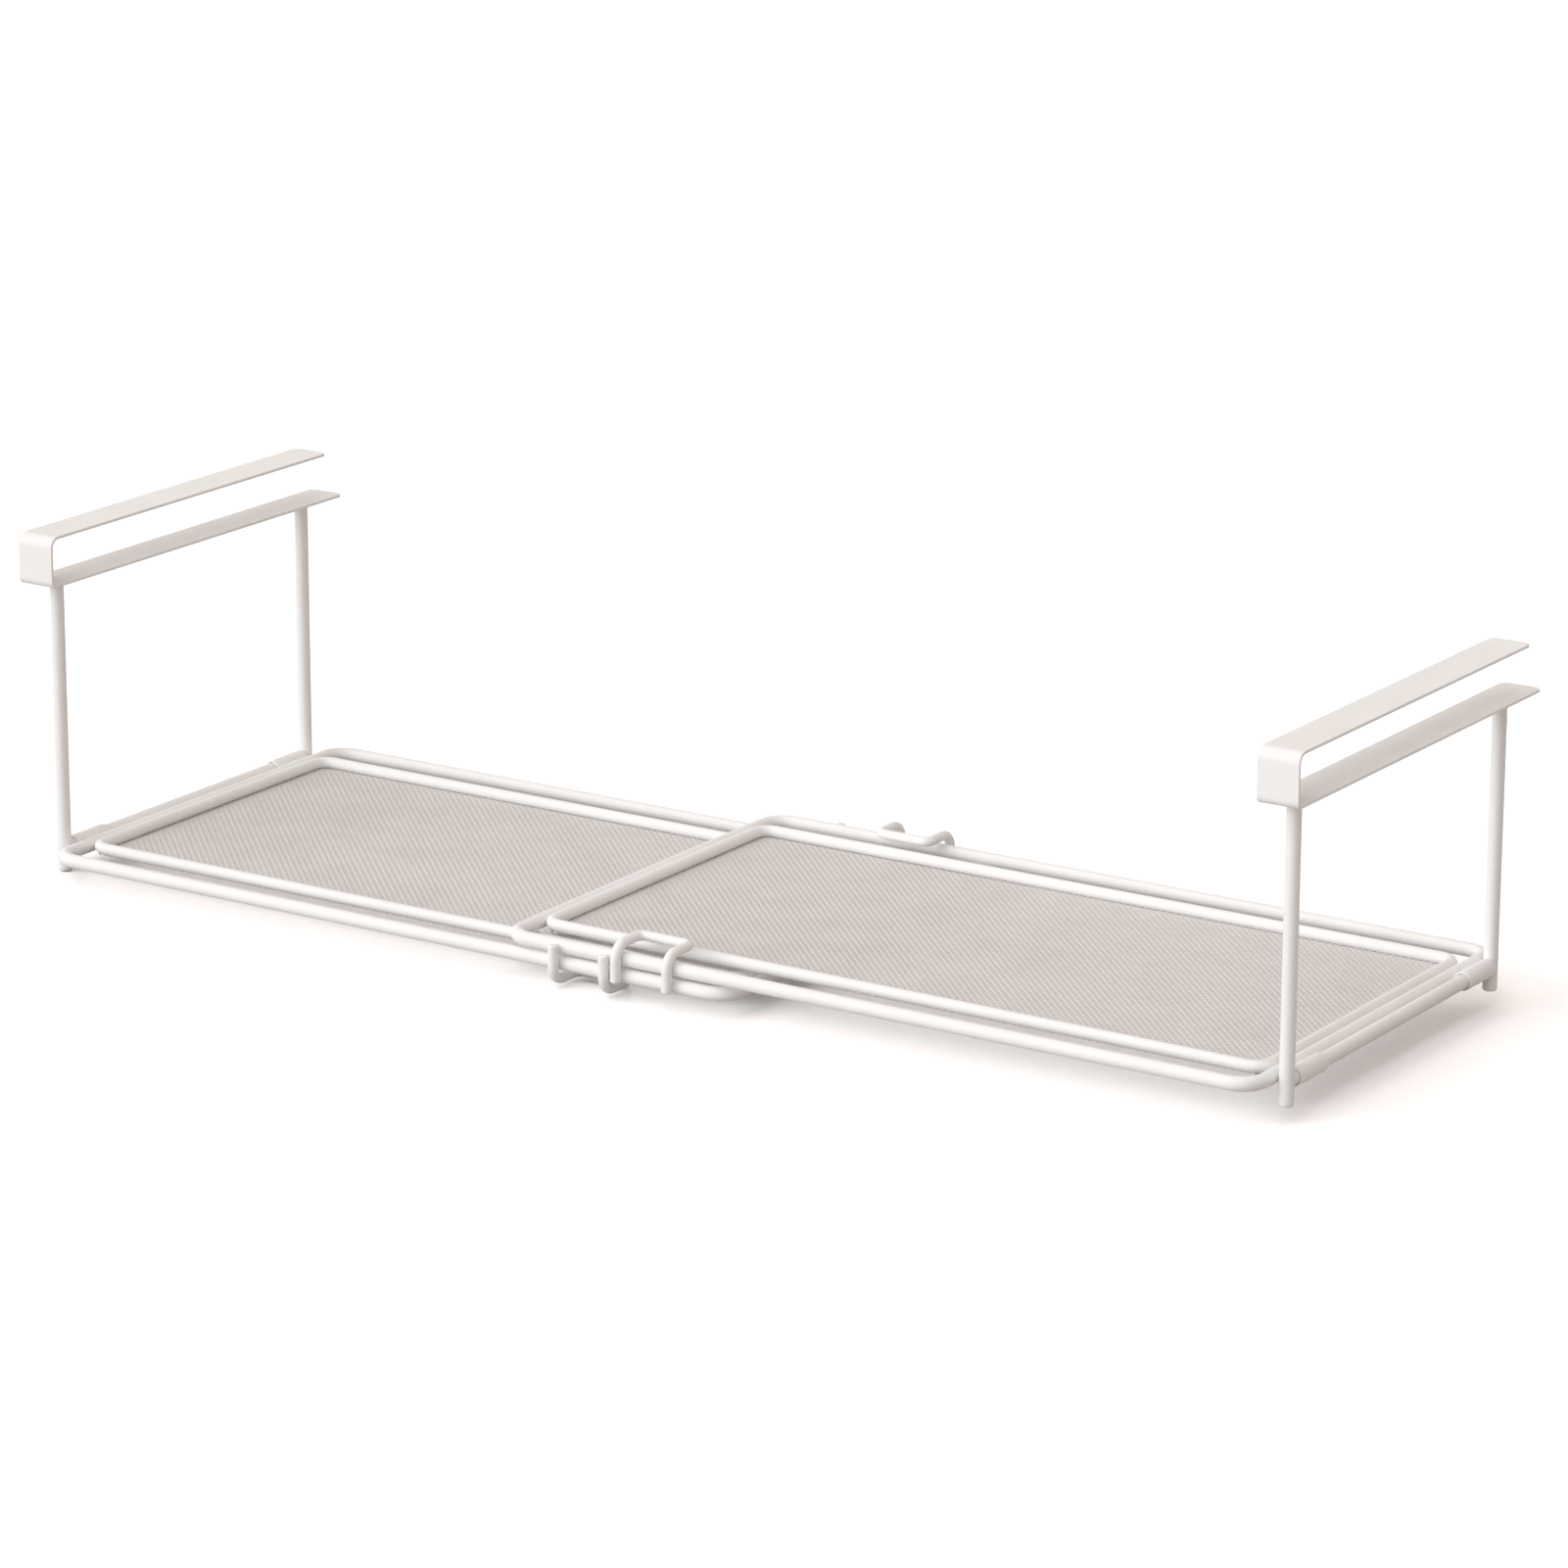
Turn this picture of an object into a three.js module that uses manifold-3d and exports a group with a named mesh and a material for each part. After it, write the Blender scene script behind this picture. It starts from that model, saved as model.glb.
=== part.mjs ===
// Extendable wire tray that hangs under a shelf board from two clip hangers.
// Millimetres. +X points to the right hanger, +Y to the back of the shelf and +Z up.
// The origin is midway between the hangers, on the board's top face, where the top plates rest.
import * as THREE from 'three';
import { mergeGeometries, mergeVertices } from 'three/addons/utils/BufferGeometryUtils.js';
import Module from 'manifold-3d';

const wasm = await Module();
wasm.setup();

// Outer frames: one bent rod each, measured between rod centres
const FRAME_LENGTH = 404.5;
const FRAME_WIDTH = 234;
const FRAME_ROD = 7;
const FRAME_BEND = 12;

// Mesh rims: a thinner rod inside each frame, welded to its end rails
const SIDE_SLOT = 15.5; // clear width between a long rail and the rim
const RIM_ROD = 6;
const RIM_BEND = 8;
const RIM_RISE = 1.3; // rim rod's centre above the frame rod's centre

// Mesh panels: a diamond net under each rim
const PANEL_THICKNESS = 1;
const NET_BORDER = 4;
const NET_PITCH_X = 39;
const NET_PITCH_Y = 30;
const NET_STRAND = 3;

// Hinges at the outboard ends: two short tubes on the tray, with a rod between the hanger's posts in them
const TUBE_CLEARANCE = 0.3; // all round the rod
const TUBE_WALL = 0.8;
const TUBE_LENGTH = 25;
const FRONT_PLAY = 2.5; // front post to the front tube
const REAR_PLAY = 0.5; // rear tube to the rear post

// Guide staples: each holds the other half's long rail and slides along it
const GUIDE_ROD = 5;
const GUIDE_SPAN = 29; // between the two legs
const GUIDE_TAIL = 2; // leg's end past the centre of the rail that carries it
const GUIDE_HEADROOM = 2; // between an arm and the guided rail
const GUIDE_RIM_GAP = 1.9; // between the side of the mesh rim and the cross bar
const GUIDE_SHOULDER = 7.5; // bend from a leg into its arm
const GUIDE_BEND = 4; // bend from an arm into the cross bar
const GUIDE_INSET = 30.5; // a half's inner end rail to its first front leg
const REAR_GUIDE_SHIFT = 4.5; // rear guides past the front ones, towards +X
const STOP_GAP = 2; // between the two guides at full extension

// Hangers
const HANGER_ROD = 7; // posts and hinge rod
const POST_INSET = 17; // long rail's centre line to the post's
const POST_TIP = 12; // post's end below the hinge
const POST_EDGE = 1; // chamfer at the tip
const TRAY_DROP = 130.5; // underside of the clip to the right half's hinge

// Shelf clips: one bent strip each
const CLIP_WIDTH = 21;
const CLIP_SHEET = 1.5;
const CLIP_GRIP = 23; // clear height for the board
const CLIP_FRONT = 16; // front post to the wall's outer face
const TOP_PLATE_REAR = 10; // top plate's end behind the rear post
const STRIP_REAR = 23; // lower strip's end behind the rear post
const CLIP_TOP_BEND = 4; // inner bend radii
const CLIP_LOWER_BEND = 2;
const CLIP_CORNER = 4; // rounding of the rear corners

// Gaps and facets
const WELD_GAP = 0.3; // between welded pieces
const HALF_GAP = 0.5; // clear height between the two tray halves
const ROD_SIDES = 12;
const GUIDE_SIDES = 8;
const LATHE_SIDES = 16;
const BEND_STEPS = 6;
const GUIDE_BEND_STEPS = 4;

// Places that follow from the sizes
const rimInset = Math.sqrt((FRAME_ROD / 2 + RIM_ROD / 2 + WELD_GAP) ** 2 - RIM_RISE ** 2);
const rimLength = FRAME_LENGTH - 2 * rimInset;
const rimWidth = FRAME_WIDTH - FRAME_ROD - RIM_ROD - 2 * SIDE_SLOT;
const panelTop = RIM_RISE - RIM_ROD / 2 - WELD_GAP;
const halfTop = Math.max(FRAME_ROD / 2, RIM_RISE + RIM_ROD / 2);
const halfBottom = Math.min(-FRAME_ROD / 2, panelTop - PANEL_THICKNESS);
const halfStep = halfTop - halfBottom + HALF_GAP;
const postSpacing = FRAME_WIDTH - 2 * POST_INSET;
const postSide = postSpacing / 2 - HANGER_ROD / 2;
const tubeBore = HANGER_ROD + 2 * TUBE_CLEARANCE;
const tubeOuter = tubeBore + 2 * TUBE_WALL;
const hingeOffset = tubeOuter / 2 + WELD_GAP + FRAME_ROD / 2;
const reach = hingeOffset + FRAME_LENGTH;
const overlap = 2 * GUIDE_INSET + 2 * GUIDE_SPAN + GUIDE_ROD + STOP_GAP;
const hangerX = reach - overlap / 2;
const legDistances = [reach - GUIDE_INSET, reach - GUIDE_INSET - GUIDE_SPAN];
const clipUnderside = -CLIP_GRIP - CLIP_SHEET;
const rightHingeZ = clipUnderside - TRAY_DROP;
const leftHingeZ = rightHingeZ - halfStep;

const rodCoat = new THREE.MeshStandardMaterial({ color: 0xf3f0ec, roughness: 0.42, metalness: 0 });
const clipCoat = new THREE.MeshStandardMaterial({ color: 0xf2ede8, roughness: 0.45, metalness: 0 });
const meshCoat = new THREE.MeshStandardMaterial({ color: 0xe9e3df, roughness: 0.5, metalness: 0 });

function piece(name, geometry, material) {
  const mesh = new THREE.Mesh(geometry, material);
  mesh.name = name;
  return mesh;
}

// Closed geometry as a solid that can be cut, and back
function solid(geometry) {
  const bare = geometry.clone();
  bare.deleteAttribute('normal');
  bare.deleteAttribute('uv');
  const { attributes, index } = mergeVertices(bare);
  const vertProperties = new Float32Array(attributes.position.array);
  const triVerts = new Uint32Array(index.array);
  return new wasm.Manifold(new wasm.Mesh({ numProp: 3, vertProperties, triVerts }));
}

function surface(cut) {
  const { vertProperties, triVerts } = cut.getMesh();
  const geometry = new THREE.BufferGeometry();
  geometry.setAttribute('position', new THREE.Float32BufferAttribute(vertProperties, 3));
  geometry.setIndex([...triVerts]);
  geometry.computeVertexNormals();
  return geometry;
}

// Flat shape in X and Y with its thickness between two heights
function slab(shape, low, high) {
  const options = { depth: high - low, bevelEnabled: false, curveSegments: BEND_STEPS / 2 };
  return new THREE.ExtrudeGeometry(shape, options).translate(0, 0, low);
}

// Rectangle with round corners, centred on the origin
function roundedRectangle(length, width, radius) {
  const shape = new THREE.Shape();
  const corners = [[1, 1], [-1, 1], [-1, -1], [1, -1]];
  corners.forEach(([sx, sy], quarter) => {
    const start = (quarter * Math.PI) / 2;
    const x = sx * (length / 2 - radius);
    const y = sy * (width / 2 - radius);
    shape.absarc(x, y, radius, start, start + Math.PI / 2);
  });
  shape.closePath();
  return shape;
}

// Straight runs between corner points, each corner rounded to its radius where the runs are long enough
function filletedLine(corners, radii) {
  const points = [corners[0]];
  for (let i = 1; i < corners.length - 1; i += 1) {
    const back = corners[i - 1].clone().sub(corners[i]);
    const ahead = corners[i + 1].clone().sub(corners[i]);
    const halfAngle = back.angleTo(ahead) / 2;
    const room = Math.min(back.length(), ahead.length()) / 2;
    const radius = Math.min(radii[i - 1], room * Math.tan(halfAngle));
    back.normalize();
    ahead.normalize();
    const middle = back.clone().add(ahead).normalize();
    const centre = corners[i].clone().addScaledVector(middle, radius / Math.sin(halfAngle));
    const first = corners[i].clone().addScaledVector(back, radius / Math.tan(halfAngle)).sub(centre);
    const axis = ahead.clone().cross(back).normalize();
    const turn = Math.PI - 2 * halfAngle;
    for (let step = 0; step <= GUIDE_BEND_STEPS; step += 1) {
      const arm = first.clone().applyAxisAngle(axis, (turn * step) / GUIDE_BEND_STEPS);
      points.push(arm.add(centre));
    }
  }
  points.push(corners[corners.length - 1]);
  return points;
}

// Round rod along a line of points: a ring square to the rod at each point, closed or with flat ends
function bentRod(points, diameter, sides, firstNormal, closed) {
  const count = points.length;
  const positions = [];
  const triangles = [];
  const normal = firstNormal.clone();
  points.forEach((point, i) => {
    const tangent = new THREE.Vector3();
    if (closed || i > 0) {
      tangent.add(point.clone().sub(points[(i + count - 1) % count]).normalize());
    }
    if (closed || i < count - 1) {
      tangent.add(points[(i + 1) % count].clone().sub(point).normalize());
    }
    tangent.normalize();
    normal.addScaledVector(tangent, -normal.dot(tangent)).normalize();
    const side = tangent.clone().cross(normal);
    for (let k = 0; k < sides; k += 1) {
      const angle = (2 * Math.PI * k) / sides;
      const corner = point.clone();
      corner.addScaledVector(normal, (diameter / 2) * Math.cos(angle));
      corner.addScaledVector(side, (diameter / 2) * Math.sin(angle));
      positions.push(corner.x, corner.y, corner.z);
    }
  });
  const runs = closed ? count : count - 1;
  for (let i = 0; i < runs; i += 1) {
    const here = i * sides;
    const next = ((i + 1) % count) * sides;
    for (let k = 0; k < sides; k += 1) {
      const after = (k + 1) % sides;
      triangles.push(here + k, here + after, next + k);
      triangles.push(here + after, next + after, next + k);
    }
  }
  const ends = closed ? [] : [0, count - 1];
  ends.forEach((end) => {
    const centre = positions.length / 3;
    positions.push(...points[end].toArray());
    for (let k = 0; k < sides; k += 1) {
      const pair = [end * sides + k, end * sides + ((k + 1) % sides)];
      triangles.push(centre, ...(end === 0 ? pair.reverse() : pair));
    }
  });
  const geometry = new THREE.BufferGeometry();
  geometry.setAttribute('position', new THREE.Float32BufferAttribute(positions, 3));
  geometry.setIndex(triangles);
  geometry.computeVertexNormals();
  return geometry;
}

// Closed flat loop of rod with bent corners
function rodLoop(length, width, bend, diameter) {
  const outline = roundedRectangle(length, width, bend).getPoints(BEND_STEPS / 2);
  outline.pop();
  const points = outline.map(({ x, y }) => new THREE.Vector3(x, y, 0));
  return bentRod(points, diameter, ROD_SIDES, new THREE.Vector3(0, 0, 1), true);
}

// Diamond net: a flat sheet with gaps in staggered rows, cut off square along the border
function meshPanel() {
  const cutLow = panelTop - 2 * PANEL_THICKNESS;
  const cutHigh = panelTop + PANEL_THICKNESS;
  const fieldX = rimLength - 2 * NET_BORDER;
  const fieldY = rimWidth - 2 * NET_BORDER;
  const columns = Math.round(fieldX / NET_PITCH_X);
  const rows = Math.round(fieldY / NET_PITCH_Y);
  const pitchX = fieldX / columns;
  const pitchY = fieldY / rows;
  const open = 1 - (NET_STRAND * Math.hypot(pitchX, pitchY)) / (pitchX * pitchY);
  const tips = [[1, 0], [0, 1], [-1, 0], [0, -1]];
  const diamond = new THREE.Shape(
    tips.map(([x, y]) => new THREE.Vector2((x * open * pitchX) / 2, (y * open * pitchY) / 2)),
  );
  const gaps = [];
  for (let i = -columns; i <= columns; i += 1) {
    for (let j = -rows; j <= rows; j += 1) {
      if ((i + j + columns + rows) % 2 === 0) {
        const gap = slab(diamond, cutLow, cutHigh);
        gaps.push(gap.translate((i * pitchX) / 2, (j * pitchY) / 2, 0));
      }
    }
  }
  const field = new THREE.BoxGeometry(fieldX, fieldY, cutHigh - cutLow);
  field.translate(0, 0, (cutLow + cutHigh) / 2);
  const openings = solid(mergeGeometries(gaps)).intersect(solid(field));
  const outline = roundedRectangle(rimLength, rimWidth, RIM_BEND);
  const sheet = slab(outline, panelTop - PANEL_THICKNESS, panelTop);
  return surface(solid(sheet).subtract(openings));
}

// Short tube round the hinge rod, from its front end towards +Y
function hingeTube(front) {
  const rear = front + TUBE_LENGTH;
  const wall = [
    [tubeBore / 2, front],
    [tubeOuter / 2, front],
    [tubeOuter / 2, rear],
    [tubeBore / 2, rear],
    [tubeBore / 2, front],
  ];
  return new THREE.LatheGeometry(wall.map(([r, y]) => new THREE.Vector2(r, y)), LATHE_SIDES);
}

// Staple on a long rail at height 0. Its arms pass over the guided rail, which lies at guidedZ, and a
// cross bar joins them beside the mesh rim. legs are the two places along X and edge is -1 at the front.
function guideStaple(legs, edge, guidedZ) {
  const up = Math.sign(guidedZ);
  const legY = edge * (FRAME_WIDTH / 2 + FRAME_ROD / 2 + WELD_GAP + GUIDE_ROD / 2);
  const barY = edge * (rimWidth / 2 + RIM_ROD / 2 + GUIDE_RIM_GAP + GUIDE_ROD / 2);
  const armZ = guidedZ + up * (FRAME_ROD / 2 + GUIDE_HEADROOM + GUIDE_ROD / 2);
  const side = [[legY, -up * GUIDE_TAIL], [legY, armZ], [barY, armZ]];
  const out = side.map(([y, z]) => new THREE.Vector3(legs[0], y, z));
  const back = side.map(([y, z]) => new THREE.Vector3(legs[1], y, z)).reverse();
  const bends = [GUIDE_SHOULDER, GUIDE_BEND, GUIDE_BEND, GUIDE_SHOULDER];
  const points = filletedLine([...out, ...back], bends);
  return bentRod(points, GUIDE_ROD, GUIDE_SIDES, new THREE.Vector3(1, 0, 0), false);
}

// One half of the tray, built from its hinge. inboard is -1 where the tray lies towards -X.
function trayHalf(side, inboard, hingeZ, guidedZ) {
  const half = new THREE.Group();
  const middle = inboard * (hingeOffset + FRAME_LENGTH / 2);
  const frontLegs = legDistances.map((distance) => inboard * distance);
  const rearLegs = frontLegs.map((x) => x + REAR_GUIDE_SHIFT);
  const loop = rodLoop(FRAME_LENGTH, FRAME_WIDTH, FRAME_BEND, FRAME_ROD);
  const frame = piece(`${side}_outer_frame`, loop, rodCoat);
  frame.position.x = middle;
  const rim = piece(`${side}_mesh_rim`, rodLoop(rimLength, rimWidth, RIM_BEND, RIM_ROD), rodCoat);
  rim.position.set(middle, 0, RIM_RISE);
  const panel = piece(`${side}_mesh_panel`, meshPanel(), meshCoat);
  panel.position.x = middle;
  half.add(frame, rim, panel);
  const frontTube = hingeTube(-postSide + FRONT_PLAY);
  const rearTube = hingeTube(postSide - REAR_PLAY - TUBE_LENGTH);
  half.add(piece(`${side}_hinge_tube_front`, frontTube, rodCoat));
  half.add(piece(`${side}_hinge_tube_rear`, rearTube, rodCoat));
  half.add(piece(`${side}_guide_front`, guideStaple(frontLegs, -1, guidedZ), rodCoat));
  half.add(piece(`${side}_guide_rear`, guideStaple(rearLegs, 1, guidedZ), rodCoat));
  half.position.set(-inboard * hangerX, 0, hingeZ);
  return half;
}

// Strip bent round the front of the board, drawn from the side and extruded to its width
function shelfClip() {
  const wall = -postSpacing / 2 - CLIP_FRONT;
  const plateEnd = postSpacing / 2 + TOP_PLATE_REAR;
  const stripEnd = postSpacing / 2 + STRIP_REAR;
  const topOuter = CLIP_TOP_BEND + CLIP_SHEET;
  const lowerOuter = CLIP_LOWER_BEND + CLIP_SHEET;
  const topY = wall + topOuter;
  const lowerY = wall + lowerOuter;
  const lowerZ = -CLIP_GRIP + CLIP_LOWER_BEND;
  const profile = new THREE.Shape();
  profile.moveTo(plateEnd, CLIP_SHEET);
  profile.absarc(topY, -CLIP_TOP_BEND, topOuter, Math.PI / 2, Math.PI);
  profile.absarc(lowerY, lowerZ, lowerOuter, Math.PI, 1.5 * Math.PI);
  profile.lineTo(stripEnd, clipUnderside);
  profile.lineTo(stripEnd, -CLIP_GRIP);
  profile.absarc(lowerY, lowerZ, CLIP_LOWER_BEND, 1.5 * Math.PI, Math.PI, true);
  profile.absarc(topY, -CLIP_TOP_BEND, CLIP_TOP_BEND, Math.PI, Math.PI / 2, true);
  profile.lineTo(plateEnd, 0);
  profile.closePath();
  const alongX = new THREE.Matrix4().makeBasis(
    new THREE.Vector3(0, 1, 0),
    new THREE.Vector3(0, 0, 1),
    new THREE.Vector3(1, 0, 0),
  );
  const strip = slab(profile, -CLIP_WIDTH / 2, CLIP_WIDTH / 2).applyMatrix4(alongX);
  const plan = (rear, low, high) => {
    const front = wall - CLIP_CORNER;
    const outline = roundedRectangle(CLIP_WIDTH, rear - front, CLIP_CORNER);
    return solid(slab(outline, low, high).translate(0, (front + rear) / 2, 0));
  };
  const lowerPlan = plan(stripEnd, clipUnderside, -CLIP_GRIP / 2);
  const upperPlan = plan(plateEnd, -CLIP_GRIP / 2, CLIP_SHEET);
  return surface(solid(strip).intersect(lowerPlan.add(upperPlan)));
}

// Upright rod from the clip's underside to a chamfered tip below the hinge
function post(hingeZ) {
  const tip = hingeZ - POST_TIP;
  const radius = HANGER_ROD / 2;
  const outline = [
    [0, tip],
    [radius - POST_EDGE, tip],
    [radius, tip + POST_EDGE],
    [radius, clipUnderside - WELD_GAP],
    [0, clipUnderside - WELD_GAP],
  ];
  const points = outline.map(([r, z]) => new THREE.Vector2(r, z));
  return new THREE.LatheGeometry(points, LATHE_SIDES).rotateX(Math.PI / 2);
}

// Clip, two posts and the hinge rod between them at one end
function hanger(side, x, hingeZ) {
  const group = new THREE.Group();
  const frontPost = piece(`${side}_front_post`, post(hingeZ), rodCoat);
  frontPost.position.y = -postSpacing / 2;
  const rearPost = piece(`${side}_rear_post`, post(hingeZ), rodCoat);
  rearPost.position.y = postSpacing / 2;
  const rodLength = 2 * (postSide - WELD_GAP);
  const rod = new THREE.CylinderGeometry(HANGER_ROD / 2, HANGER_ROD / 2, rodLength, LATHE_SIDES);
  const hinge = piece(`${side}_hinge_rod`, rod, rodCoat);
  hinge.position.z = hingeZ;
  group.add(piece(`${side}_shelf_clip`, shelfClip(), clipCoat), frontPost, rearPost, hinge);
  group.position.x = x;
  return group;
}

const basket = new THREE.Group();
basket.add(
  trayHalf('left', 1, leftHingeZ, halfStep),
  trayHalf('right', -1, rightHingeZ, -halfStep),
  hanger('left', -hangerX, leftHingeZ),
  hanger('right', hangerX, rightHingeZ),
);

export default basket;
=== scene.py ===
import math

import bmesh
import bpy
from mathutils import Matrix, Vector


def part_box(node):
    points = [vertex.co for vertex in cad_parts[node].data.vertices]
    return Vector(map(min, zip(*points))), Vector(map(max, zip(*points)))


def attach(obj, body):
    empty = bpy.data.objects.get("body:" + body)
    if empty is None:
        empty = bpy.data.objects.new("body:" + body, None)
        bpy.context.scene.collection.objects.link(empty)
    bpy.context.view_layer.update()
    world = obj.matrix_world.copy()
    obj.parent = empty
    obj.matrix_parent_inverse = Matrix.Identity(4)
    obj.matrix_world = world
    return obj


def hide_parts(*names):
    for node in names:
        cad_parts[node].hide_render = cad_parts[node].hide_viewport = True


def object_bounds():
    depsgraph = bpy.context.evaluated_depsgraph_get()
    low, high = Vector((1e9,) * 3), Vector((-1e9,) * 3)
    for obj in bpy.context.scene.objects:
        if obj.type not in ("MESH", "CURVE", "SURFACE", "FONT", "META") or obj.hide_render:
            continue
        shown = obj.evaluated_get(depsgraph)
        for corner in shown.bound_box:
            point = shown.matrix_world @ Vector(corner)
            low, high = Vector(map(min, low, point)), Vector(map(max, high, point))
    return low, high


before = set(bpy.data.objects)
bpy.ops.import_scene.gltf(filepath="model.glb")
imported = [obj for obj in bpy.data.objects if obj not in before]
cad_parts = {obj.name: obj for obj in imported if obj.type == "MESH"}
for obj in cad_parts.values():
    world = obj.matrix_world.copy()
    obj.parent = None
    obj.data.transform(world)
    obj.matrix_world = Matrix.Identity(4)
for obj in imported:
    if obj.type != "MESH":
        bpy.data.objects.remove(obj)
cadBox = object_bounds()
print("frame loaded:", len(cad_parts), "nodes")

mm = 0.001
mergeGap = 0.002 * mm            # vertices closer than this are one
sharpAngle = math.radians(57)    # between the faces along an edge that gets rounded over
xAxis = Vector((1, 0, 0))
yAxis = Vector((0, 1, 0))
zAxis = Vector((0, 0, 1))


# colours are written as sRGB hex and used as linear light
def hexColour(code):
    channels = [int(code[i:i + 2], 16) / 255 for i in (1, 3, 5)]
    linear = [c / 12.92 if c <= 0.04045 else ((c + 0.055) / 1.055) ** 2.4 for c in channels]
    return (*linear, 1.0)


# one node with its settings, input values and links from other nodes' outputs
def addNode(tree, kind, settings=None, values=None, links=None):
    node = tree.nodes.new(kind)
    for name, value in (settings or {}).items():
        setattr(node, name, value)
    for socket, value in (values or {}).items():
        node.inputs[socket].default_value = value
    for socket, output in (links or {}).items():
        tree.links.new(output, node.inputs[socket])
    return node


# Satin polyester powder coat, sprayed dry and baked on steel. The melt levels out almost smooth, so the eye
# gets a soft broad highlight, a faint orange peel about a millimetre across and a barely uneven white.
def powderCoat(look):
    material = bpy.data.materials.new(look["name"])
    material.use_nodes = True
    tree = material.node_tree
    tree.nodes.clear()
    place = addNode(tree, "ShaderNodeTexCoord")
    cloud = addNode(
        tree, "ShaderNodeTexNoise",
        values={"Scale": 1 / (look["cloudMm"] * mm), "Detail": 2.0, "Roughness": 0.5},
        links={"Vector": place.outputs["Object"]},
    )
    tone = addNode(
        tree, "ShaderNodeValToRGB",
        links={"Fac": cloud.outputs["Fac"]},
    )
    # the noise seldom goes past these two places
    stops = ((0.35, look["shade"]), (0.65, look["white"]))
    for element, (position, colour) in zip(tone.color_ramp.elements, stops):
        element.position = position
        element.color = hexColour(colour)
    grain = addNode(
        tree, "ShaderNodeTexNoise",
        values={"Scale": 1 / (look["grainMm"] * mm), "Detail": 1.0},
        links={"Vector": place.outputs["Object"]},
    )
    gloss = addNode(
        tree, "ShaderNodeMapRange",
        values={"To Min": look["roughness"][0], "To Max": look["roughness"][1]},
        links={"Value": grain.outputs["Fac"]},
    )
    peel = addNode(
        tree, "ShaderNodeTexNoise",
        values={"Scale": 1 / (look["peelMm"] * mm), "Detail": 1.5, "Roughness": 0.45},
        links={"Vector": place.outputs["Object"]},
    )
    bump = addNode(
        tree, "ShaderNodeBump",
        values={"Strength": look["peelStrength"], "Distance": look["peelDepthMm"] * mm},
        links={"Height": peel.outputs["Fac"]},
    )
    surface = addNode(
        tree, "ShaderNodeBsdfPrincipled",
        values={"IOR": 1.5, "Metallic": 0.0, "Specular IOR Level": look["specular"]},
        links={
            "Base Color": tone.outputs["Color"],
            "Roughness": gloss.outputs["Result"],
            "Normal": bump.outputs["Normal"],
        },
    )
    addNode(
        tree, "ShaderNodeOutputMaterial",
        links={"Surface": surface.outputs["BSDF"]},
    )
    return material


rodCoatLook = {
    "name": "powder_coat_on_steel_rod",
    "white": "#FAF9F8", "shade": "#F7F6F4",
    "cloudMm": 40, "grainMm": 3, "roughness": (0.52, 0.62),
    "peelMm": 1.5, "peelDepthMm": 0.02, "peelStrength": 0.6, "specular": 0.35,
}
clipCoatLook = {
    "name": "powder_coat_on_steel_strip",
    "white": "#FAF8F6", "shade": "#F7F5F2",
    "cloudMm": 30, "grainMm": 3, "roughness": (0.52, 0.62),
    "peelMm": 1.6, "peelDepthMm": 0.025, "peelStrength": 0.6, "specular": 0.35,
}
# the mesh has the rods' white coat, set darker here: painted shade for the grey the strands take in shade
meshLookWithPaintedShade = {
    "name": "powder_coat_on_steel_mesh_with_painted_shade",
    "white": "#ECE8E5", "shade": "#E8E3E0",
    "cloudMm": 25, "grainMm": 2, "roughness": (0.55, 0.65),
    "peelMm": 0.8, "peelDepthMm": 0.01, "peelStrength": 0.5, "specular": 0.3,
}
rodCoat = powderCoat(rodCoatLook)
clipCoat = powderCoat(clipCoatLook)
meshCoatWithPaintedShade = powderCoat(meshLookWithPaintedShade)
print("materials ready")


# A finished bmesh becomes a piece at the origin that rides on its body and stands for its nodes.
# Edges sharper than crease, in degrees, are shaded as edges.
def makePiece(bm, name, material, body, nodes=(), crease=50):
    bmesh.ops.remove_doubles(bm, verts=bm.verts, dist=mergeGap)
    bmesh.ops.recalc_face_normals(bm, faces=bm.faces)
    for face in bm.faces:
        face.smooth = True
    for edge in bm.edges:
        edge.smooth = edge.calc_face_angle(0) < math.radians(crease)
    data = bpy.data.meshes.new(name)
    bm.to_mesh(data)
    bm.free()
    data.materials.append(material)
    piece = bpy.data.objects.new(name, data)
    bpy.context.scene.collection.objects.link(piece)
    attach(piece, body)
    if nodes:
        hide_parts(*nodes)
    return piece


def ringVerts(edges):
    return list(dict.fromkeys(v for e in edges for v in e.verts))


# rounds edges over, or the corners of an outline with affect="VERTICES"
def roundOver(bm, geom, radius, segments, affect="EDGES"):
    bmesh.ops.bevel(
        bm, geom=geom, offset=radius, offset_type="OFFSET", segments=segments,
        profile=0.5, affect=affect, material=-1,
    )


# circle of vertices square to a direction, the start of every rod
def startRing(bm, centre, direction, radius, sides):
    turn = direction.to_track_quat("Z", "Y").to_matrix().to_4x4()
    place = Matrix.Translation(centre) @ turn
    made = bmesh.ops.create_circle(bm, cap_ends=False, radius=radius, segments=sides, matrix=place)
    return list(dict.fromkeys(e for v in made["verts"] for e in v.link_edges))


def runStraight(bm, ring, step):
    made = bmesh.ops.extrude_edge_only(bm, edges=ring)["geom"]
    fresh = {g for g in made if isinstance(g, bmesh.types.BMVert)}
    bmesh.ops.translate(bm, verts=list(fresh), vec=step)
    return [e for e in bm.edges if e.verts[0] in fresh and e.verts[1] in fresh]


# a long run has a ring near each end, which keeps the shading of a bend or tip from spreading along it
settle = {"ring": 1 * mm, "shortest": 10 * mm}


def runSettled(bm, ring, step, nearEnd=settle["ring"]):
    if step.length < settle["shortest"]:
        return runStraight(bm, ring, step)
    short = step.normalized() * nearEnd
    ring = runStraight(bm, ring, short)
    ring = runStraight(bm, ring, step - 2 * short)
    return runStraight(bm, ring, short)


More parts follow.
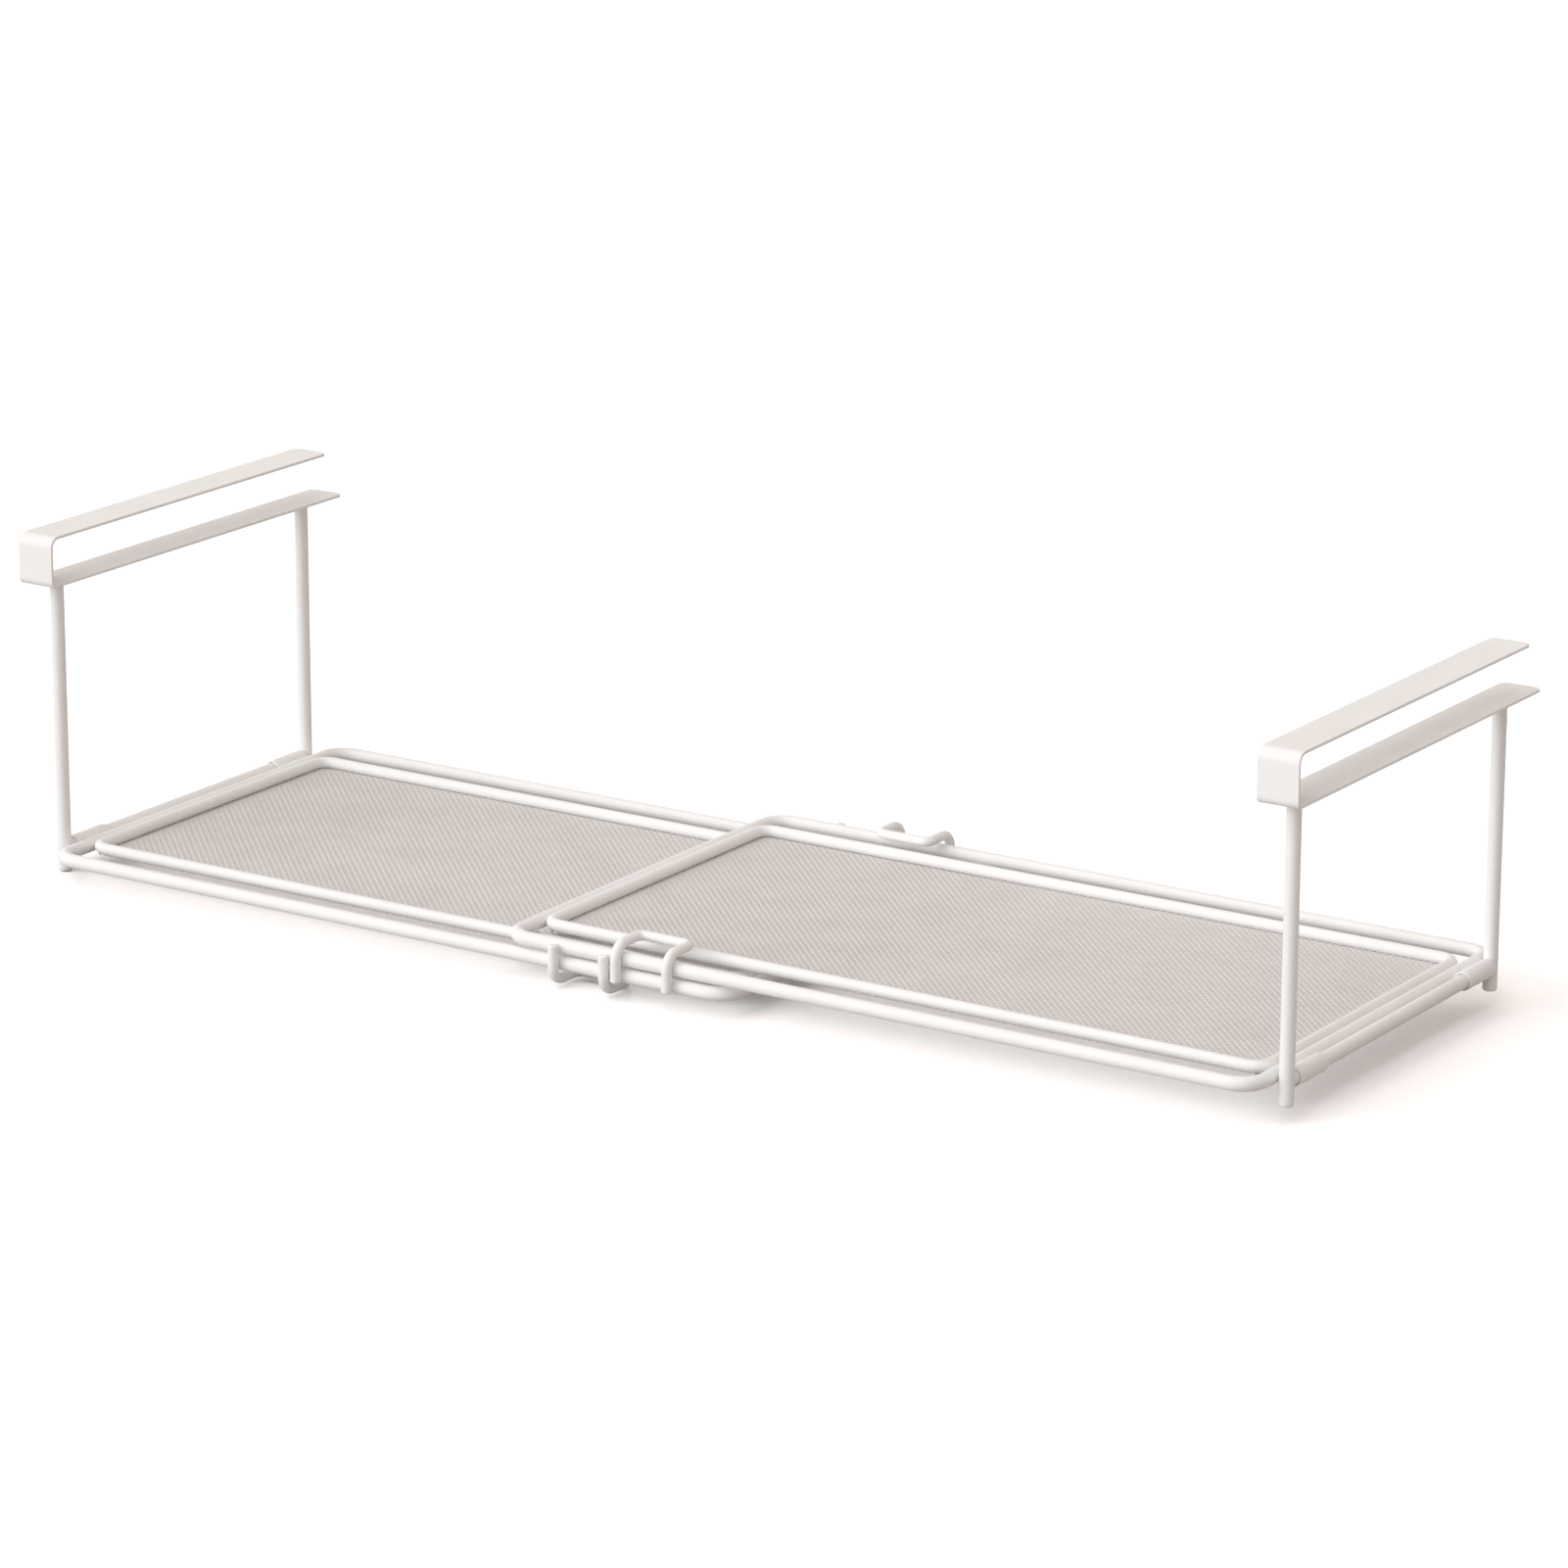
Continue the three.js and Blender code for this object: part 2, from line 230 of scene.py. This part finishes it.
def runBend(bm, ring, centre, axis, angle, steps):
    made = bmesh.ops.spin(
        bm, geom=ringVerts(ring) + ring, cent=centre, axis=axis, dvec=(0, 0, 0),
        angle=angle, steps=steps, use_merge=False, use_duplicate=False,
    )["geom_last"]
    return [g for g in made if isinstance(g, bmesh.types.BMEdge)]


# Rod along corner points, each corner bent to its radius. Returns the first and the last ring.
def bentRod(bm, corners, bends, radius, sides, bendSteps):
    first = (corners[1] - corners[0]).normalized()
    ring = startRing(bm, corners[0], first, radius, sides)
    start = ring
    here = corners[0]
    for i in range(1, len(corners) - 1):
        ahead = (corners[i] - corners[i - 1]).normalized()
        after = (corners[i + 1] - corners[i]).normalized()
        turn = ahead.angle(after)
        back = bends[i - 1] * math.tan(turn / 2)
        ring = runSettled(bm, ring, corners[i] - ahead * back - here)
        axis = ahead.cross(after).normalized()
        centre = corners[i] - ahead * back + axis.cross(ahead) * bends[i - 1]
        ring = runBend(bm, ring, centre, axis, turn, bendSteps)
        here = corners[i] + after * back
    ring = runSettled(bm, ring, corners[-1] - here)
    return start, ring


# flat end on a rod, its edge rounded over
def roundedEnd(bm, ring, radius, segments):
    bmesh.ops.edgeloop_fill(bm, edges=ring)
    roundOver(bm, ring, radius, segments)


# closed loop of rod that fills a node's box, starting in the middle of its front rail
def rodLoop(node, rod):
    low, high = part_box(node)
    radius = (high.z - low.z) / 2
    z = (low.z + high.z) / 2
    x0, x1 = low.x + radius, high.x - radius
    y0, y1 = low.y + radius, high.y - radius
    middle = Vector(((x0 + x1) / 2, y0, z))
    turns = [Vector((x1, y0, z)), Vector((x1, y1, z)), Vector((x0, y1, z)), Vector((x0, y0, z))]
    bends = [rod["bend"]] * len(turns)
    bm = bmesh.new()
    bentRod(bm, [middle, *turns, middle], bends, radius, rod["sides"], rod["bendSteps"])
    return bm


frameRod = {"bend": 12 * mm, "sides": 28, "bendSteps": 14}
rimRod = {"bend": 8 * mm, "sides": 24, "bendSteps": 12}
for side in ("left", "right"):
    bm = rodLoop(f"{side}_outer_frame", frameRod)
    makePiece(bm, f"{side}_frame_rod", rodCoat, f"{side}_tray", [f"{side}_outer_frame"])
    bm = rodLoop(f"{side}_mesh_rim", rimRod)
    makePiece(bm, f"{side}_rim_rod", rodCoat, f"{side}_tray", [f"{side}_mesh_rim"])
print("frame and rim rods bent")


# Mesh: square gaps set on their corners, with strands that rise to a round ridge
wireMesh = {
    "pitch": 2.9 * mm,      # from strand to strand
    "strandWidth": 1.1 * mm,
    "ridge": 0.7 * mm,      # top of a strand above its edges
    "belly": 0.1 * mm,      # underside below them
    "cornerCut": 3.3 * mm,  # takes the corners in under the bends of the rim
    "drop": 0.4 * mm,       # strand's edges below the rim rod
    "crease": 110,          # only the ridges are shaded round
}


# cuts away all that lies outside the panel and a margin around it
def trimToPanel(bm, half, cut, margin):
    cornerDistance = (half.x + half.y - cut) / math.sqrt(2)
    planes = []
    for sx in (-1, 1):
        planes.append((xAxis * sx, half.x + margin))
        planes.append((yAxis * sx, half.y + margin))
        for sy in (-1, 1):
            planes.append((Vector((sx, sy, 0)).normalized(), cornerDistance + margin))
    for normal, distance in planes:
        bmesh.ops.bisect_plane(
            bm, geom=bm.verts[:] + bm.edges[:] + bm.faces[:], dist=mergeGap / 2,
            plane_co=normal * distance, plane_no=normal, clear_outer=True,
        )


def wireMeshPanel(half):
    reach = (half.x + half.y) / math.sqrt(2) + wireMesh["pitch"]
    cells = 2 * math.ceil(reach / wireMesh["pitch"])
    bm = bmesh.new()
    bmesh.ops.create_grid(
        bm, x_segments=cells, y_segments=cells, size=cells * wireMesh["pitch"] / 2,
        matrix=Matrix.Rotation(math.pi / 4, 4, "Z"),
    )
    # rough trim, so that no gaps are made far outside the panel
    trimToPanel(bm, half, wireMesh["cornerCut"], 2 * wireMesh["pitch"])
    ridge = set(bm.verts)
    gaps = bm.faces[:]
    bmesh.ops.inset_individual(bm, faces=gaps, thickness=wireMesh["strandWidth"] / 2, use_even_offset=True)
    bmesh.ops.delete(bm, geom=gaps, context="FACES_ONLY")
    # the ridge rises in one copy and sinks in the other, and the two meet along the gaps
    lower = bmesh.ops.duplicate(bm, geom=bm.verts[:] + bm.edges[:] + bm.faces[:])
    twin = lower["vert_map"]
    sunk = [twin[v] for v in ridge]
    bmesh.ops.translate(bm, verts=list(ridge), vec=zAxis * wireMesh["ridge"])
    bmesh.ops.translate(bm, verts=sunk, vec=zAxis * -wireMesh["belly"])
    bmesh.ops.remove_doubles(bm, verts=bm.verts, dist=mergeGap)
    trimToPanel(bm, half, wireMesh["cornerCut"], 0)
    cutEnds = [e for e in bm.edges if e.is_boundary]
    bmesh.ops.holes_fill(bm, edges=cutEnds, sides=0)
    return bm


for side in ("left", "right"):
    low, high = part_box(f"{side}_mesh_panel")
    bm = wireMeshPanel((high - low) / 2)
    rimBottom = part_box(f"{side}_mesh_rim")[0].z
    middle = Vector(((low.x + high.x) / 2, (low.y + high.y) / 2, rimBottom - wireMesh["drop"]))
    bmesh.ops.translate(bm, verts=bm.verts, vec=middle)
    piece = makePiece(
        bm, f"{side}_wire_mesh", meshCoatWithPaintedShade, f"{side}_tray", [f"{side}_mesh_panel"],
        crease=wireMesh["crease"],
    )
    print(side, "mesh:", len(piece.data.polygons), "faces")


# Hinges: two short tubes on each end of the tray turn on a rod between the posts
hingeTube = {"wall": 0.8 * mm, "edge": 0.25 * mm, "edgeSegments": 3, "sides": 40}


def tubeAlongY(node):
    low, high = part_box(node)
    radius = (high.z - low.z) / 2
    bore = radius - hingeTube["wall"]
    front = Vector(((low.x + high.x) / 2, low.y, (low.z + high.z) / 2))
    length = high.y - low.y
    bm = bmesh.new()
    corners = [(bore, 0), (radius, 0), (radius, length), (bore, length)]
    verts = [bm.verts.new(front + Vector((r, y, 0))) for r, y in corners]
    edges = [bm.edges.new((verts[i], verts[(i + 1) % len(verts)])) for i in range(len(verts))]
    bmesh.ops.spin(
        bm, geom=verts + edges, cent=front, axis=yAxis, dvec=(0, 0, 0),
        angle=2 * math.pi, steps=hingeTube["sides"], use_merge=True, use_duplicate=False,
    )
    bmesh.ops.remove_doubles(bm, verts=bm.verts, dist=mergeGap)
    bmesh.ops.recalc_face_normals(bm, faces=bm.faces)
    sharp = [e for e in bm.edges if e.calc_face_angle(0) > sharpAngle]
    roundOver(bm, sharp, hingeTube["edge"], hingeTube["edgeSegments"])
    return bm


for side in ("left", "right"):
    for place in ("front", "rear"):
        node = f"{side}_hinge_tube_{place}"
        makePiece(tubeAlongY(node), f"{side}_{place}_tube", rodCoat, f"{side}_tray", [node])
print("hinge tubes turned")


# Straight rods of the hangers
uprightRod = {
    "sides": 28,
    "tipEdge": 1.2 * mm,
    "tipSegments": 5,
    "tipRing": 2 * mm,      # above the rounded edge
    "intoStrip": 0.5 * mm,
}
axleRod = {"sides": 28, "intoPost": 2.5 * mm}


def upright(node):
    low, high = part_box(node)
    radius = (high.x - low.x) / 2
    tip = Vector(((low.x + high.x) / 2, (low.y + high.y) / 2, low.z))
    top = Vector((tip.x, tip.y, high.z + uprightRod["intoStrip"]))
    bm = bmesh.new()
    start = startRing(bm, tip, zAxis, radius, uprightRod["sides"])
    end = runSettled(bm, start, top - tip, uprightRod["tipRing"])
    bmesh.ops.edgeloop_fill(bm, edges=end)
    roundedEnd(bm, start, uprightRod["tipEdge"], uprightRod["tipSegments"])
    return bm


def axle(node):
    low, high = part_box(node)
    radius = (high.z - low.z) / 2
    front = Vector(((low.x + high.x) / 2, low.y - axleRod["intoPost"], (low.z + high.z) / 2))
    rear = Vector((front.x, high.y + axleRod["intoPost"], front.z))
    bm = bmesh.new()
    start = startRing(bm, front, yAxis, radius, axleRod["sides"])
    end = runSettled(bm, start, rear - front)
    bmesh.ops.edgeloop_fill(bm, edges=start)
    bmesh.ops.edgeloop_fill(bm, edges=end)
    return bm


for side in ("left", "right"):
    for place in ("front", "rear"):
        node = f"{side}_{place}_post"
        makePiece(upright(node), f"{side}_{place}_upright", rodCoat, f"{side}_hanger", [node])
    node = f"{side}_hinge_rod"
    makePiece(axle(node), f"{side}_axle", rodCoat, f"{side}_hanger", [node])
print("hanger rods cut")


# Shelf clips: a strip bent twice round the front of the board
clipStrip = {
    "sheet": 1.5 * mm,
    "topBend": 4 * mm,       # inner radii
    "lowerBend": 2 * mm,
    "plateShort": 13 * mm,   # top plate's end ahead of the lower strip's
    "corner": 4 * mm,
    "cornerSegments": 6,
    "bendSteps": 8,
    "edge": 0.3 * mm,
    "edgeSegments": 2,
    "crease": 20,
}


# drawn as the strip's outer face, then given its thickness inwards
def shelfClip(node):
    low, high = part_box(node)
    topRadius = clipStrip["topBend"] + clipStrip["sheet"]
    lowerRadius = clipStrip["lowerBend"] + clipStrip["sheet"]
    plateEnd = high.y - clipStrip["plateShort"]
    topY = low.y + topRadius
    topZ = high.z - topRadius
    lowerY = low.y + lowerRadius
    lowerZ = low.z + lowerRadius
    bm = bmesh.new()
    ends = [bm.verts.new((x, plateEnd, high.z)) for x in (low.x, high.x)]
    edge = [bm.edges.new(ends)]
    edge = runStraight(bm, edge, yAxis * (topY + settle["ring"] - plateEnd))
    edge = runStraight(bm, edge, yAxis * -settle["ring"])
    edge = runBend(bm, edge, Vector((0, topY, topZ)), xAxis, math.pi / 2, clipStrip["bendSteps"])
    edge = runSettled(bm, edge, zAxis * (lowerZ - topZ))
    edge = runBend(bm, edge, Vector((0, lowerY, lowerZ)), xAxis, math.pi / 2, clipStrip["bendSteps"])
    edge = runStraight(bm, edge, yAxis * settle["ring"])
    edge = runStraight(bm, edge, yAxis * (high.y - lowerY - settle["ring"]))
    corners = ends + ringVerts(edge)
    roundOver(bm, corners, clipStrip["corner"], clipStrip["cornerSegments"], affect="VERTICES")
    bmesh.ops.recalc_face_normals(bm, faces=bm.faces)
    bmesh.ops.solidify(bm, geom=bm.faces[:], thickness=clipStrip["sheet"])
    sharp = [e for e in bm.edges if e.calc_face_angle(0) > sharpAngle]
    roundOver(bm, sharp, clipStrip["edge"], clipStrip["edgeSegments"])
    return bm


for side in ("left", "right"):
    node = f"{side}_shelf_clip"
    makePiece(
        shelfClip(node), f"{side}_clip_strip", clipCoat, f"{side}_hanger", [node],
        crease=clipStrip["crease"],
    )
print("clips bent")


# Guides: thin rod bent into a staple whose arms reach over or under the other half's rail
guideRod = {
    "radius": 2.5 * mm,
    "shoulder": 7.5 * mm,   # leg into arm
    "bend": 4 * mm,         # arm into the cross bar
    "sides": 20,
    "bendSteps": 8,
    "endEdge": 0.8 * mm,
    "endSegments": 3,
}


# facing is -1 on the front rail and 1 on the rear one, up is 1 where the arms lie above the legs
def guide(node, facing, up):
    low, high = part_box(node)
    r = guideRod["radius"]
    legs = [low.x + r, high.x - r]
    legY = low.y + r if facing < 0 else high.y - r
    barY = high.y - r if facing < 0 else low.y + r
    armZ = high.z - r if up > 0 else low.z + r
    tailZ = low.z if up > 0 else high.z
    way = [(legY, tailZ), (legY, armZ), (barY, armZ)]
    out = [Vector((legs[0], y, z)) for y, z in way]
    back = [Vector((legs[1], y, z)) for y, z in reversed(way)]
    bends = [guideRod["shoulder"], guideRod["bend"], guideRod["bend"], guideRod["shoulder"]]
    bm = bmesh.new()
    start, end = bentRod(bm, out + back, bends, r, guideRod["sides"], guideRod["bendSteps"])
    roundedEnd(bm, start, guideRod["endEdge"], guideRod["endSegments"])
    roundedEnd(bm, end, guideRod["endEdge"], guideRod["endSegments"])
    return bm


for side, up in (("left", 1), ("right", -1)):
    for place, facing in (("front", -1), ("rear", 1)):
        node = f"{side}_guide_{place}"
        bm = guide(node, facing, up)
        makePiece(bm, f"{side}_{place}_staple", rodCoat, f"{side}_tray", [node])
print("guides bent")


# Welds: small beads in the grooves where two rods of a tray half lie together, given by their half axes
weldBead = {
    "tube": Vector((1.2, 10, 2.6)) * mm,
    "rim": Vector((1.0, 5, 1.5)) * mm,
    "rimDrop": 1.3 * mm,     # rim beads lie on the underside
    "rimSpots": (-62 * mm, 0, 62 * mm),
    "leg": Vector((1.8, 1.0, 2.2)) * mm,
    "sides": 20,
    "rings": 12,
}


def addBead(bm, centre, size):
    place = Matrix.Translation(centre) @ Matrix.Diagonal((*size, 1))
    bmesh.ops.create_uvsphere(
        bm, u_segments=weldBead["sides"], v_segments=weldBead["rings"], radius=1, matrix=place,
    )


# outboard is -1 where the half's hinge end looks towards -X, and 1 towards +X
def trayWelds(side, outboard):
    low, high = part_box(f"{side}_outer_frame")
    railZ = (low.z + high.z) / 2
    bm = bmesh.new()
    for place in ("front", "rear"):
        tubeLow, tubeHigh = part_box(f"{side}_hinge_tube_{place}")
        x = (high.x + tubeLow.x) / 2 if outboard > 0 else (low.x + tubeHigh.x) / 2
        addBead(bm, Vector((x, (tubeLow.y + tubeHigh.y) / 2, railZ)), weldBead["tube"])
        guideLow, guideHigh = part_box(f"{side}_guide_{place}")
        railY = low.y if place == "front" else high.y
        for x in (guideLow.x + guideRod["radius"], guideHigh.x - guideRod["radius"]):
            addBead(bm, Vector((x, railY, railZ)), weldBead["leg"])
    rimLow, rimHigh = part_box(f"{side}_mesh_rim")
    railWidth = high.z - low.z
    for x in ((low.x + railWidth + rimLow.x) / 2, (high.x - railWidth + rimHigh.x) / 2):
        for y in weldBead["rimSpots"]:
            addBead(bm, Vector((x, y, railZ - weldBead["rimDrop"])), weldBead["rim"])
    return bm


for side, outboard in (("left", -1), ("right", 1)):
    makePiece(trayWelds(side, outboard), f"{side}_welds", rodCoat, f"{side}_tray")
print("welds laid")


# Camera fitted to the photograph: places in millimetres, angles in degrees
view = {
    "place": (1572.3, -2394.6, 731.0),
    "yaw": 32.99,
    "pitch": 16.14,
    "roll": 0.21,
    "focalPixels": 6278,
    "framePixels": 1601,
    "sensor": 36.0,
    "farthest": 50,          # metres
}


def makeCamera():
    data = bpy.data.cameras.new("camera")
    data.sensor_width = view["sensor"]
    data.lens = view["focalPixels"] / view["framePixels"] * view["sensor"]
    data.clip_end = view["farthest"]
    camera = bpy.data.objects.new("camera", data)
    bpy.context.scene.collection.objects.link(camera)
    turn = Matrix.Rotation(math.radians(view["yaw"]), 4, "Z")
    tilt = Matrix.Rotation(math.radians(90 - view["pitch"]), 4, "X")
    roll = Matrix.Rotation(math.radians(view["roll"]), 4, "Z")
    place = Matrix.Translation(Vector(view["place"]) * mm)
    camera.matrix_world = place @ turn @ tilt @ roll
    bpy.context.scene.camera = camera


makeCamera()
print("camera set")


# Floor, background and light
stage = {
    "floorDrop": 0.5 * mm,    # floor below the tips of the posts
    "floorRadius": 14,        # metres
    "floorSides": 64,
    "floorColour": "#B4B2B0",
    "liftColour": "#FCFDFF",  # added for the camera, so that the open floor is white and a shadow stays
    "ambientColour": "#FFF1E9",
    "ambient": 0.49,
}


# 1 for rays that show the stage to the camera, also by reflection, and 0 for those that light the object
def seenDirectly(tree):
    path = addNode(tree, "ShaderNodeLightPath")
    either = addNode(
        tree, "ShaderNodeMath", {"operation": "MAXIMUM"},
        links={0: path.outputs["Is Camera Ray"], 1: path.outputs["Is Glossy Ray"]},
    )
    return addNode(
        tree, "ShaderNodeMath", {"operation": "MAXIMUM"},
        links={0: either.outputs[0], 1: path.outputs["Is Transmission Ray"]},
    ).outputs[0]


def makeFloor():
    lowest = cadBox[0][2]
    bm = bmesh.new()
    bmesh.ops.create_circle(
        bm, cap_ends=True, radius=stage["floorRadius"], segments=stage["floorSides"],
        matrix=Matrix.Translation((0, 0, lowest - stage["floorDrop"])),
    )
    data = bpy.data.meshes.new("floor")
    bm.to_mesh(data)
    bm.free()
    floor = bpy.data.objects.new("floor", data)
    bpy.context.scene.collection.objects.link(floor)
    material = bpy.data.materials.new("matt_white_paper")
    material.use_nodes = True
    tree = material.node_tree
    tree.nodes.clear()
    paper = addNode(tree, "ShaderNodeBsdfDiffuse", values={"Color": hexColour(stage["floorColour"])})
    lift = addNode(tree, "ShaderNodeBsdfDiffuse", values={"Color": hexColour(stage["liftColour"])})
    both = addNode(tree, "ShaderNodeAddShader", links={0: paper.outputs[0], 1: lift.outputs[0]})
    mix = addNode(
        tree, "ShaderNodeMixShader",
        links={0: seenDirectly(tree), 1: paper.outputs[0], 2: both.outputs[0]},
    )
    addNode(tree, "ShaderNodeOutputMaterial", links={"Surface": mix.outputs[0]})
    data.materials.append(material)


def makeWorld():
    world = bpy.data.worlds.new("studio")
    bpy.context.scene.world = world
    world.use_nodes = True
    tree = world.node_tree
    tree.nodes.clear()
    ambient = addNode(
        tree, "ShaderNodeBackground",
        values={"Color": hexColour(stage["ambientColour"]), "Strength": stage["ambient"]},
    )
    white = addNode(tree, "ShaderNodeBackground", values={"Color": (1, 1, 1, 1), "Strength": 1.0})
    mix = addNode(
        tree, "ShaderNodeMixShader",
        links={0: seenDirectly(tree), 1: ambient.outputs[0], 2: white.outputs[0]},
    )
    addNode(tree, "ShaderNodeOutputWorld", links={"Surface": mix.outputs[0]})


# large soft lamps far away: a strength of pi would show a surface that faces the lamp in its own colour
lamps = [
    {"name": "key", "from": (-0.65, -0.76, 0.24), "strength": 1.2, "softness": 40, "colour": "#FBFDFF"},
    {"name": "front", "from": (-0.10, -0.80, 0.60), "strength": 0.96, "softness": 60, "colour": "#EEF8FF"},
    {"name": "top", "from": (-0.10, -0.12, 1.0), "strength": 0.4, "softness": 60, "colour": "#FFFDFA"},
]


def makeLamps():
    for lamp in lamps:
        data = bpy.data.lights.new(lamp["name"], "SUN")
        data.energy = lamp["strength"]
        data.angle = math.radians(lamp["softness"])
        data.color = hexColour(lamp["colour"])[:3]
        light = bpy.data.objects.new(lamp["name"], data)
        bpy.context.scene.collection.objects.link(light)
        light.matrix_world = Vector(lamp["from"]).to_track_quat("Z", "Y").to_matrix().to_4x4()


makeFloor()
makeWorld()
makeLamps()
bpy.context.scene.view_settings.view_transform = "Standard"
print("stage lit")

bpy.context.view_layer.update()
